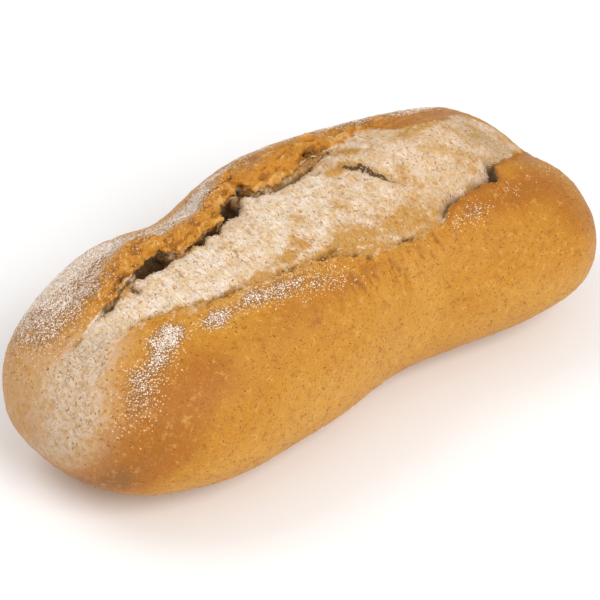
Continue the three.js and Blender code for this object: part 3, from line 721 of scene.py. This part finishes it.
# ---------------------------------------------------------------------------------------------
# Flour dust. Before baking the dough was rolled in flour, which stayed in grains and small clumps
# along the shoulders of the split. They lie loose on the crust, thickest on the near end.
# ---------------------------------------------------------------------------------------------
def scatter_tree(name, seed, shape_of):
    """Small things scattered over a surface, where one of its layers is high. Sizes are millimetres."""
    backward_lean = -0.2
    group = bpy.data.node_groups.new(name, "GeometryNodeTree")
    sockets = [
        ("Surface", "NodeSocketGeometry", None), ("Thickness of Layer", "NodeSocketFloat", 0.0),
        ("Most per Square", "NodeSocketFloat", 1.0), ("Smallest", "NodeSocketFloat", 0.2),
        ("Largest", "NodeSocketFloat", 0.5), ("Length", "NodeSocketFloat", 1.0),
        ("Flatness", "NodeSocketFloat", 0.6), ("Tilt", "NodeSocketFloat", 0.0),
        ("Finish", "NodeSocketMaterial", None),
    ]
    for label, kind, value in sockets:
        socket = group.interface.new_socket(label, in_out="INPUT", socket_type=kind)
        if value is not None:
            socket.default_value = value
    group.interface.new_socket("Pieces", in_out="OUTPUT", socket_type="NodeSocketGeometry")
    given = group.nodes.new("NodeGroupInput").outputs
    crowding = math_of(group, "MULTIPLY", given["Most per Square"], given["Thickness of Layer"])
    scattered = group.nodes.new("GeometryNodeDistributePointsOnFaces")
    group.links.new(given["Surface"], scattered.inputs["Mesh"])
    group.links.new(math_of(group, "DIVIDE", crowding, mm * mm), scattered.inputs["Density"])
    scattered.inputs["Seed"].default_value = seed
    size = add(group, "FunctionNodeRandomValue", {
        2: given["Smallest"], 3: given["Largest"], "Seed": seed + 1}, 1, data_type="FLOAT")
    size = math_of(group, "MULTIPLY", size, mm)
    squashed = add(group, "ShaderNodeCombineXYZ", {
        "X": math_of(group, "MULTIPLY", size, given["Length"]), "Y": size,
        "Z": math_of(group, "MULTIPLY", size, given["Flatness"])})
    turned = add(group, "FunctionNodeRandomValue", {2: 0.0, 3: 2 * math.pi, "Seed": seed + 2}, 1,
                 data_type="FLOAT")
    lean = add(group, "FunctionNodeRandomValue", {
        2: math_of(group, "MULTIPLY", given["Tilt"], backward_lean), 3: given["Tilt"], "Seed": seed + 3}, 1,
        data_type="FLOAT")
    spin = add(group, "ShaderNodeCombineXYZ", {"Y": math_of(group, "MULTIPLY", lean, -1.0), "Z": turned})
    pieces = add(group, "GeometryNodeInstanceOnPoints", {
        "Points": scattered.outputs["Points"], "Instance": shape_of(group),
        "Rotation": scattered.outputs["Rotation"], "Scale": squashed})
    pieces = add(group, "GeometryNodeRotateInstances", {"Instances": pieces, "Rotation": spin})
    pieces = add(group, "GeometryNodeRealizeInstances", {"Geometry": pieces})
    pieces = add(group, "GeometryNodeSetMaterial", {"Geometry": pieces, "Material": given["Finish"]})
    group.links.new(pieces, group.nodes.new("NodeGroupOutput").inputs["Pieces"])
    return group


def scattered_on(base, name, layer_name, group, finish, **sizes):
    """A new piece of the small things that the tree scatters on the base piece, as a plain mesh."""
    piece = bpy.data.objects.new(name, base.data.copy())
    scene.collection.objects.link(piece)
    modifier = piece.modifiers.new("scatter", "NODES")
    modifier.node_group = group
    identifiers = {item.name: item.identifier for item in group.interface.items_tree
                   if item.in_out == "INPUT"}
    modifier[identifiers["Thickness of Layer"] + "_use_attribute"] = True
    modifier[identifiers["Thickness of Layer"] + "_attribute_name"] = layer_name
    modifier[identifiers["Finish"]] = finish
    for label, value in sizes.items():
        modifier[identifiers[label.replace("_", " ")]] = value
    grown = bpy.data.meshes.new_from_object(piece.evaluated_get(bpy.context.evaluated_depsgraph_get()))
    piece.modifiers.clear()
    piece.data = grown
    grown.name = name
    return piece


def small_grain(group):
    return add(group, "GeometryNodeMeshUVSphere", {"Segments": 5, "Rings": 2, "Radius": 1.0})


flour_finish, tree, surface = new_finish("flour")
place = add(tree, "ShaderNodeTexCoord", {}, "Object")
thick_dust = blend(tree, between(tree, speckle(tree, place, 1.5, 2.0), 0.4, 0.6), tone(246, 236, 226),
                   tone(226, 202, 176))
tree.links.new(blend(tree, between(tree, layer(tree, "flour"), 0.15, 0.55), tone(232, 196, 152), thick_dust),
               surface.inputs["Base Color"])
surface.inputs["Roughness"].default_value = 0.9
surface.inputs["Specular IOR Level"].default_value = 0.2
flour_grains = scattered_on(loaf, "flour_grains", "flour", scatter_tree("flour scatter", 11, small_grain),
                            flour_finish, Most_per_Square=4.2, Smallest=0.08, Largest=0.36, Length=1.4,
                            Flatness=0.7, Tilt=0.4)
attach(flour_grains, "root")


# ---------------------------------------------------------------------------------------------
# Bran. Thin brown flakes of wheat husk are baked into the crust and stand out on the torn crumb.
# Each is a small flat scale that lies level with the skin.
# ---------------------------------------------------------------------------------------------
bran_finish, tree, surface = new_finish("bran")
place = add(tree, "ShaderNodeTexCoord", {}, "Object")
shade = between(tree, speckle(tree, place, 2.0, 2.0), 0.4, 0.6)
tree.links.new(blend(tree, layer(tree, "torn"), blend(tree, shade, tone(140, 86, 34), tone(180, 126, 64)),
                     blend(tree, shade, tone(156, 106, 54), tone(204, 156, 100))),
               surface.inputs["Base Color"])
surface.inputs["Roughness"].default_value = 0.7
surface.inputs["Specular IOR Level"].default_value = 0.2
bran_flakes = scattered_on(loaf, "bran_flakes", "bran", scatter_tree("bran scatter", 21, small_grain),
                           bran_finish, Most_per_Square=0.12, Smallest=0.08, Largest=0.34, Length=3.0,
                           Flatness=0.35, Tilt=0.2)
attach(bran_flakes, "root")


# ---------------------------------------------------------------------------------------------
# Shreds. Where the crumb tore, short bent threads and tufts of dough stand up from it, most of all
# along the edge of the dark pockets and across the slot beside the tear.
# ---------------------------------------------------------------------------------------------
def bent_thread(group):
    """A thread a few times longer than thick, bent to one side, with both its ends buried."""
    bow = add(group, "GeometryNodeCurvePrimitiveBezierSegment", {
        "Resolution": 4, "Start": (-1.0, 0, -0.35), "Start Handle": (-0.5, 0.1, 0.5),
        "End Handle": (0.3, 0.5, 0.6), "End": (1.0, 0.25, -0.2)})
    sides = add(group, "GeometryNodeCurvePrimitiveCircle", {"Resolution": 4, "Radius": 0.14})
    return add(group, "GeometryNodeCurveToMesh", {"Curve": bow, "Profile Curve": sides, "Fill Caps": True})


shred_finish, tree, surface = new_finish("crumb_shreds")
place = add(tree, "ShaderNodeTexCoord", {}, "Object")
pale_thread = blend(tree, between(tree, speckle(tree, place, 4.0, 3.0), 0.4, 0.62), tone(240, 226, 206),
                    tone(226, 192, 140))
tree.links.new(blend(tree, between(tree, layer(tree, "toast"), 0.3, 0.8), pale_thread, tone(216, 168, 96)),
               surface.inputs["Base Color"])
surface.inputs["Roughness"].default_value = 0.9
surface.inputs["Specular IOR Level"].default_value = 0.2
crumb_shreds = scattered_on(loaf, "crumb_shreds", "shredded", scatter_tree("shred scatter", 31, bent_thread),
                            shred_finish, Most_per_Square=0.6, Smallest=0.4, Largest=1.2, Length=1.0,
                            Flatness=0.7, Tilt=0.7)
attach(crumb_shreds, "root")


# ---------------------------------------------------------------------------------------------
# The floor: a plain pale surface at height 0, on which the loaf lies. It reaches far enough to fill the
# view from every side.
# ---------------------------------------------------------------------------------------------
floor_reach = 3.0
floor_mesh = bpy.data.meshes.new("floor")
floor_corners = [(-floor_reach, -floor_reach, 0), (floor_reach, -floor_reach, 0),
                 (floor_reach, floor_reach, 0), (-floor_reach, floor_reach, 0)]
floor_mesh.from_pydata(floor_corners, [], [(0, 1, 2, 3)])
floor = bpy.data.objects.new("floor", floor_mesh)
scene.collection.objects.link(floor)
floor_finish, tree, surface = new_finish("pale_floor")
surface.inputs["Base Color"].default_value = tone(250, 250, 250)
surface.inputs["Roughness"].default_value = 0.8
floor_mesh.materials.append(floor_finish)


# ---------------------------------------------------------------------------------------------
# The studio light: a white surround, a broad key light from in front and above, and a weaker one from
# behind on the left.
# ---------------------------------------------------------------------------------------------
loaf_middle = Vector((0, 0, 0.04))
surround_strength = 0.58


def softbox(name, place, size, power):
    light = bpy.data.lights.new(name, "AREA")
    light.shape = "DISK"
    light.size = size
    light.energy = power
    obj = bpy.data.objects.new(name, light)
    scene.collection.objects.link(obj)
    obj.location = place
    obj.rotation_euler = (loaf_middle - Vector(place)).to_track_quat("-Z", "Y").to_euler()


surround = bpy.data.worlds.new("surround")
surround.use_nodes = True
surround.node_tree.nodes["Background"].inputs["Color"].default_value = (1.0, 1.0, 1.0, 1.0)
surround.node_tree.nodes["Background"].inputs["Strength"].default_value = surround_strength
scene.world = surround
softbox("key_light", place=(0.0, -1.1, 1.1), size=0.9, power=14.5)
softbox("back_light", place=(-0.5, 0.8, 1.3), size=1.0, power=7)


# ---------------------------------------------------------------------------------------------
# The camera: turned 40 degrees to the left of the loaf's front, and looking down on it at 40 degrees.
# Its distance and long lens were fitted to the loaf's outline in the photograph.
# ---------------------------------------------------------------------------------------------
camera_turn, camera_height, camera_distance = math.radians(-39.9), math.radians(40.13), 0.85
camera_target = Vector((-0.41, 0.26, 31.89)) * mm
camera_data = bpy.data.cameras.new("camera")
camera_data.sensor_width = 36
camera_data.lens = 117.68
camera = bpy.data.objects.new("camera", camera_data)
scene.collection.objects.link(camera)
backward = Vector((math.sin(camera_turn) * math.cos(camera_height),
                   -math.cos(camera_turn) * math.cos(camera_height), math.sin(camera_height)))
camera.location = camera_target + backward * camera_distance
camera.rotation_euler = backward.to_track_quat("Z", "Y").to_euler()
scene.camera = camera
scene.view_settings.view_transform = "Standard"
